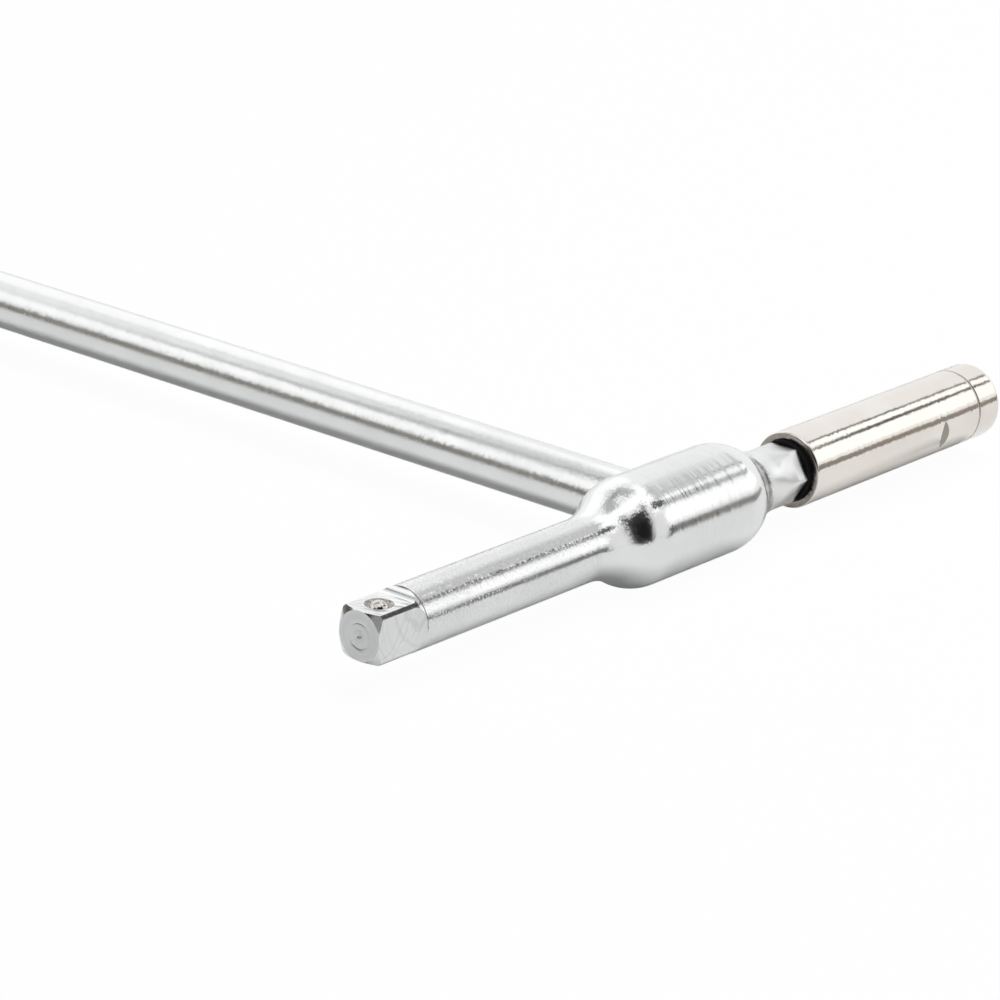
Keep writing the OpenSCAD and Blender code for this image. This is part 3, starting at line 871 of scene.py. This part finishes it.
class DRIVEBAR_OT_bit_holder(bpy.types.Operator):
    """Make the wire clip and the magnet that hold a bit in the sleeve"""

    bl_idname = "drivebar.bit_holder"
    bl_label = "Bit clip and magnet"

    def execute(self, context):
        s, f, p = settings_of(context)
        clip = new_object("bit_clip_wire", self.bent_wire(s, p))
        dark = plated("clip_wire_dark", f.wire, dim(f.wire, 0.7), rough=0.3)
        finish_piece(clip, "sleeve", "bit_clip", "clip_wire", dark)

        bm = prism(p.magnet_x, p.bit_floor_x, s.magnet_d / 2, DISC_SEGMENTS)
        rims = [e for e in bm.edges if abs(e.verts[0].co.x - e.verts[1].co.x) < SAME]
        round_edges(bm, rims, MAGNET_ROUND, RIM_STEPS)
        magnet = new_object("bit_magnet_disc", bm)
        dull = plated("magnet_plating_dull", f.magnet, dim(f.magnet, 0.85), rough=0.28)
        finish_piece(magnet, "sleeve", "bit_magnet", "magnet_plating", dull)
        return {"FINISHED"}

    def bent_wire(self, s, p):
        """Open ring of wire whose one end is bent through the sleeve's wall to the bit."""

        def only(kind, geometry):
            return [g for g in geometry if isinstance(g, kind)]

        bm = bmesh.new()
        bmesh.ops.create_circle(
            bm, cap_ends=True, segments=CLIP_SEGMENTS, radius=s.clip_wire / 2)
        move(bm, (p.clip_x, p.clip_r, 0))
        # The ring runs back from its plain end to the place of the bend
        far_end = s.clip_angle - math.asin(s.clip_wire / p.clip_r) + TURN - s.clip_open
        rotate(bm, far_end)
        bend_turn = math.asin(CLIP_BEND / p.clip_r)
        last = sweep(bm, bm.verts[:] + bm.edges[:] + bm.faces[:], (0, 0, 0), X_AXIS,
                     -(far_end - s.clip_angle - bend_turn), RING_STEPS)
        start = s.clip_angle + bend_turn
        outward = Vector((0, math.cos(start), math.sin(start)))
        bend_centre = Vector((p.clip_x, 0, 0)) + outward * (p.clip_r - CLIP_BEND)
        last = sweep(bm, last, bend_centre, X_AXIS, -QUARTER, BEND_STEPS)
        tip = only(bmesh.types.BMVert, last)
        middle = sum((v.co for v in tip), Vector()) / len(tip)
        tip_r = (s.bit_af + s.bit_gap) / 2 - s.clip_reach
        reach = math.hypot(middle.y, middle.z) - tip_r
        made = bmesh.ops.extrude_face_region(bm, geom=only(bmesh.types.BMFace, last))
        moved = only(bmesh.types.BMVert, made["geom"])
        bmesh.ops.translate(bm, verts=moved, vec=-outward * reach)
        bmesh.ops.recalc_face_normals(bm, faces=bm.faces)
        return bm


# The studio's far cards stand round this point at this distance, its room round the other one
FAR_MIDDLE = Vector((0.09, 0.03, 0))
FAR_DISTANCE = 1.6
ROOM_MIDDLE = Vector((0.09, 0, 0))
ROOM_DISTANCE = 1.4
ROOM_STEPS_UP = 6
ROOM_STEPS_ROUND = 16
# Far cards: azimuth, elevation, width and height in degrees, and brightness
FAR_CARDS = (
    ("softbox_right", -35, 21, 40, 18, 1.3),
    ("softbox_left", 132, 29, 40, 20, 1.2),
    ("softbox_back", 62, 32, 34, 35, 1.2),
    ("softbox_top", -25, 61, 60, 30, 1.25),
    ("softbox_above", -90, 80, 40, 20, 1.25),
    ("wall_front", -70, 19, 29, 38, 0.84),
    ("wall_crown", -87, 30, 22, 60, 0.8),
)
# Upright flags before the rod, the barrel and the sleeve: start and end along x, y, bottom, top
# and brightness
LOW_FLAGS = (
    ("rod_upper", 0.28, 0.4, -0.3, 0.004, 0.062, (0.02, 0.02, 0.018)),
    ("rod_lower", 0.165, 0.25, -0.175, -0.011, 0.003, (0.1, 0.1, 0.095)),
    ("rod_end", 0.28, 0.335, -0.301, 0.062, 0.11, (0.7, 0.7, 0.7)),
    ("crown_low", -0.05, 0.066, -0.165, -0.011, 0.02, (0.02, 0.02, 0.018)),
    ("barrel_upper", 0.25, 0.325, -0.175, 0.004, 0.032, (0.19, 0.18, 0.165)),
    ("barrel_lower", 0.25, 0.325, -0.175, -0.011, 0.004, (0.22, 0.21, 0.2)),
    ("sleeve_upper", 0.325, 0.79, -0.175, 0.004, 0.032, (0.3, 0.265, 0.23)),
    ("sleeve_lower", 0.325, 0.79, -0.175, -0.011, 0.004, (0.27, 0.245, 0.22)),
)
# Flags on the left, then gaps between the softboxes overhead and greys under them: middle, both
# full sides and brightness
CARDS = (
    ("flag_left_low", (-0.02, 0.3, 0.011), (0, 0.42, 0), (0, 0, 0.044), (0.2, 0.19, 0.165)),
    ("flag_left_end", (-0.0835, 0.0995, 0.0125), (0.115, 0.097, 0), (0, 0, 0.047), (0.08, 0.07, 0.06)),
    ("gap_right_rod", (0.88, -0.615, 1.0), (0.88, 0, 0), (0, 0.3, 0), (0.04, 0.04, 0.035)),
    ("gap_right_barrel", (1.4075, -0.715, 1.0), (0.175, 0, 0), (0, 0.13, 0), (0.42, 0.42, 0.41)),
    ("gap_right_sleeve", (1.6725, -0.5625, 1.0), (0.355, 0, 0), (0, 0.245, 0), (0.03, 0.03, 0.025)),
    ("gap_top", (1.2, -0.083, 1.0), (1.1, 0, 0), (0, 0.105, 0), (0.12, 0.12, 0.11)),
    ("gap_left", (-0.24, 0.815, 1.0), (-0.62, 0.732, 0), (0.105, 0.09, 0), (0.04, 0.04, 0.035)),
    ("gap_back", (0.09, 0.79, 1.0), (0.36, 0, 0), (0, 0.14, 0), (0.78, 0.78, 0.78)),
    ("gap_back_far", (0.215, 1.0, 1.0), (0.1, 0, 0), (0, 0.28, 0), (0.7, 0.7, 0.7)),
    ("grey_back", (0.23, 0.4, 1.0), (0.34, 0, 0), (0, 0.6, 0), (0.5, 0.5, 0.5)),
    ("grey_near", (0.435, -0.03, 0.39), (0.19, 0, 0), (0, 0.2, 0), (0.6, 0.6, 0.6)),
    ("grey_low", (0.4175, -0.15, 0.39), (0.155, 0, 0), (0, 0.04, 0), (0.6, 0.6, 0.6)),
    ("grey_rim", (0.435, 0.105, 0.39), (0.19, 0, 0), (0, 0.07, 0), (0.8, 0.8, 0.8)),
    ("grey_far", (0.5485, -0.0175, 0.39), (0.037, 0, 0), (0, 0.195, 0), (0.8, 0.8, 0.8)),
    ("grey_side", (0.56, 0.14, 0.39), (0.06, 0, 0), (0, 0.12, 0), (0.78, 0.78, 0.78)),
    ("grey_line", (0.536, -0.098, 0.389), (0.062, 0, 0), (0, 0.028, 0), (0.45, 0.45, 0.44)),
    ("softbox_between", (1.545, -0.3, 1.01), (0.61, 0, 0), (0, 0.36, 0), (1.3, 1.3, 1.29)),
)
# Dark room on the camera's side that pales upwards: two azimuths, two elevations and brightness
ROOM_WALLS = (
    (-90, -165, 0.5, 20, 0.003), (-88, -165, 20, 38, 0.003), (-87, -165, 38, 58, 0.02),
    (-76, -95, 58, 72, 0.15), (-165, -188, 0.5, 40, 0.3), (-188, -207, 5, 40, 0.02))


class DRIVEBAR_OT_stage(bpy.types.Operator):
    """Set up the floor, the studio light and the camera"""

    bl_idname = "drivebar.stage"
    bl_label = "Stage"

    def execute(self, context):
        scene = context.scene
        s, d = scene.drive_bar_sizes, scene.drive_bar_studio
        self.floor(s, d)
        self.world(scene, d)
        self.lights(scene, d)
        self.cards()
        self.camera(scene, d)
        scene.view_settings.view_transform = "Standard"
        return {"FINISHED"}

    def floor(self, s, d):
        """A pale floor under the barrel, almost white to the camera; metal and glass see it mostly lit
        and shadowed.
        """
        half_side, seen_white, mirrored_white = 4.0, 0.97, 0.05
        bm = bmesh.new()
        bmesh.ops.create_grid(bm, x_segments=1, y_segments=1, size=half_side)
        move(bm, (0, 0, -s.barrel_d / 2))
        floor = new_object("floor", bm)
        material, add, number = new_material("pale_floor")
        matt_floor = add("BsdfPrincipled", {
            "Base Color": (*d.floor_tint, 1), "Roughness": 0.9, "Specular IOR Level": 0.0})
        white = add("Emission", {"Color": (1, 1, 1, 1), "Strength": 1.0})
        rays = add("LightPath").outputs
        mirrored = number("MAXIMUM", rays["Is Glossy Ray"], rays["Is Transmission Ray"])
        part = number("MULTIPLY", mirrored, mirrored_white)
        weight = number("MULTIPLY_ADD", rays["Is Camera Ray"], seen_white, part)
        mix = add("MixShader", {0: weight, 1: matt_floor.outputs[0], 2: white.outputs[0]})
        add("OutputMaterial", {"Surface": mix.outputs[0]})
        floor.data.materials.append(material)

    def world(self, scene, d):
        """A room that is white to the camera, metal and glass, and dimmer to matt surfaces."""
        scene.world = bpy.data.worlds.new("studio_room")
        add, number = node_maker(scene.world)
        rays = add("LightPath").outputs
        seen = number("MAXIMUM", rays["Is Camera Ray"], rays["Is Glossy Ray"])
        seen = number("MAXIMUM", seen, rays["Is Transmission Ray"])
        room = add("Background", {"Color": (1, 1, 1, 1), "Strength": d.room_light})
        white = add("Background", {"Color": (1, 1, 1, 1), "Strength": 1.0})
        mix = add("MixShader", {0: seen, 1: room.outputs[0], 2: white.outputs[0]})
        add("OutputWorld", {"Surface": mix.outputs[0]})

    def lights(self, scene, d):
        """An overhead softbox that plating doesn't mirror."""
        lamp = bpy.data.lights.new("overhead_softbox", "AREA")
        lamp.shape = "RECTANGLE"
        lamp.size, lamp.size_y = 0.7, 1.6
        lamp.energy = d.key_power
        lamp_object = bpy.data.objects.new("overhead_softbox", lamp)
        lamp_object.location = (0.45, -0.3, 1.3)
        lamp_object.visible_glossy = False
        scene.collection.objects.link(lamp_object)

    def cards(self):
        """Softboxes and dark flags round the object, which only its plating sees."""
        for name, azimuth, elevation, width, height, glow in FAR_CARDS:
            a, e = math.radians(azimuth), math.radians(elevation)
            away = Vector((math.cos(e) * math.cos(a), math.cos(e) * math.sin(a), math.sin(e)))
            sideways = Vector((-math.sin(a), math.cos(a), 0))
            across, up = (
                side * (2 * FAR_DISTANCE) * math.tan(math.radians(degrees / 2))
                for side, degrees in ((sideways, width), (away.cross(sideways), height)))
            self.card(name, FAR_MIDDLE + away * FAR_DISTANCE, across, up, (glow, glow, glow * 0.99))
        for name, start, end, y, bottom, top, colour in LOW_FLAGS:
            self.card(f"flag_{name}", ((start + end) / 2, y, (bottom + top) / 2),
                      (end - start, 0, 0), (0, 0, top - bottom), colour)
        for row in CARDS:
            self.card(*row)
        for number, (*patch, glow) in enumerate(ROOM_WALLS):
            self.wall(f"flag_front_{number}", *patch, (glow, glow, glow))

    def wall(self, name, start, end, low, high, colour):
        """A patch of a sphere round the object, between two azimuths and two elevations."""
        a, rise = math.radians(start), (high - low) / ROOM_STEPS_UP
        bm = bmesh.new()
        verts = []
        for e in [math.radians(low + rise * i) for i in range(ROOM_STEPS_UP + 1)]:
            away = Vector((math.cos(e) * math.cos(a), math.cos(e) * math.sin(a), math.sin(e)))
            verts.append(bm.verts.new(ROOM_MIDDLE + away * ROOM_DISTANCE))
        edges = [bm.edges.new(pair) for pair in zip(verts, verts[1:])]
        sweep(bm, verts + edges, ROOM_MIDDLE, Z_AXIS, math.radians(end - start), ROOM_STEPS_ROUND)
        self.dress_card(new_object(name, bm), colour)

    def card(self, name, centre, across, up, colour):
        """A flat card, given by its middle and its two full sides."""
        across, up = Vector(across), Vector(up)
        turn = Matrix((across, up, across.cross(up).normalized())).transposed()
        bm = bmesh.new()
        bmesh.ops.create_grid(bm, x_segments=1, y_segments=1, size=0.5)
        bmesh.ops.transform(bm, matrix=Matrix.Translation(centre) @ turn.to_4x4(), verts=bm.verts)
        self.dress_card(new_object(name, bm), colour)

    def dress_card(self, card, colour):
        """Lets a card glow, to mirrors only."""
        material, add, _ = new_material(card.name)
        glow = add("Emission", {"Color": (*colour, 1)})
        add("OutputMaterial", {"Surface": glow.outputs[0]})
        card.data.materials.append(material)
        card.visible_camera = False
        card.visible_diffuse = False
        card.visible_shadow = False

    def camera(self, scene, d):
        """The photo's camera."""
        camera = bpy.data.objects.new("camera", bpy.data.cameras.new("camera"))
        camera.data.sensor_width = 36.0
        camera.data.lens = d.lens
        camera.data.clip_start, camera.data.clip_end = 0.01, 50.0
        right, up = Vector(d.camera_right).normalized(), Vector(d.camera_up)
        up = (up - right * up.dot(right)).normalized()
        turn = Matrix((right, up, right.cross(up))).transposed()
        camera.matrix_world = Matrix.Translation(d.camera_place) @ turn.to_4x4()
        scene.collection.objects.link(camera)
        scene.camera = camera


class DRIVEBAR_PT_panel(bpy.types.Panel):
    """Sidebar list of the drive bar's pieces"""

    bl_idname = "DRIVEBAR_PT_panel"
    bl_label = "Drive Bar"
    bl_space_type = "VIEW_3D"
    bl_region_type = "UI"
    bl_category = "Drive Bar"

    def draw(self, context):
        for operator in OPERATORS:
            self.layout.operator(operator.bl_idname)
        for group in ("drive_bar_sizes", "drive_bar_finish", "drive_bar_studio"):
            settings = getattr(context.scene, group)
            column = self.layout.column(align=True)
            for name in settings.__annotations__:
                column.prop(settings, name)


GROUPS = (DriveBarSizes, DriveBarFinish, DriveBarStudio)
OPERATORS = (
    DRIVEBAR_OT_crosshead, DRIVEBAR_OT_bar, DRIVEBAR_OT_detent, DRIVEBAR_OT_band,
    DRIVEBAR_OT_sleeve, DRIVEBAR_OT_bit_holder, DRIVEBAR_OT_stage)


def register():
    for cls in (*GROUPS, *OPERATORS, DRIVEBAR_PT_panel):
        bpy.utils.register_class(cls)
    bpy.types.Scene.drive_bar_sizes = bpy.props.PointerProperty(type=DriveBarSizes)
    bpy.types.Scene.drive_bar_finish = bpy.props.PointerProperty(type=DriveBarFinish)
    bpy.types.Scene.drive_bar_studio = bpy.props.PointerProperty(type=DriveBarStudio)


def unregister():
    del bpy.types.Scene.drive_bar_studio
    del bpy.types.Scene.drive_bar_finish
    del bpy.types.Scene.drive_bar_sizes
    for cls in reversed((*GROUPS, *OPERATORS, DRIVEBAR_PT_panel)):
        bpy.utils.unregister_class(cls)


def main():
    register()
    bpy.ops.drivebar.crosshead()
    bpy.ops.drivebar.bar()
    bpy.ops.drivebar.detent()
    bpy.ops.drivebar.band()
    bpy.ops.drivebar.sleeve()
    bpy.ops.drivebar.bit_holder()
    bpy.ops.drivebar.stage()


if __name__ == "__main__":
    main()
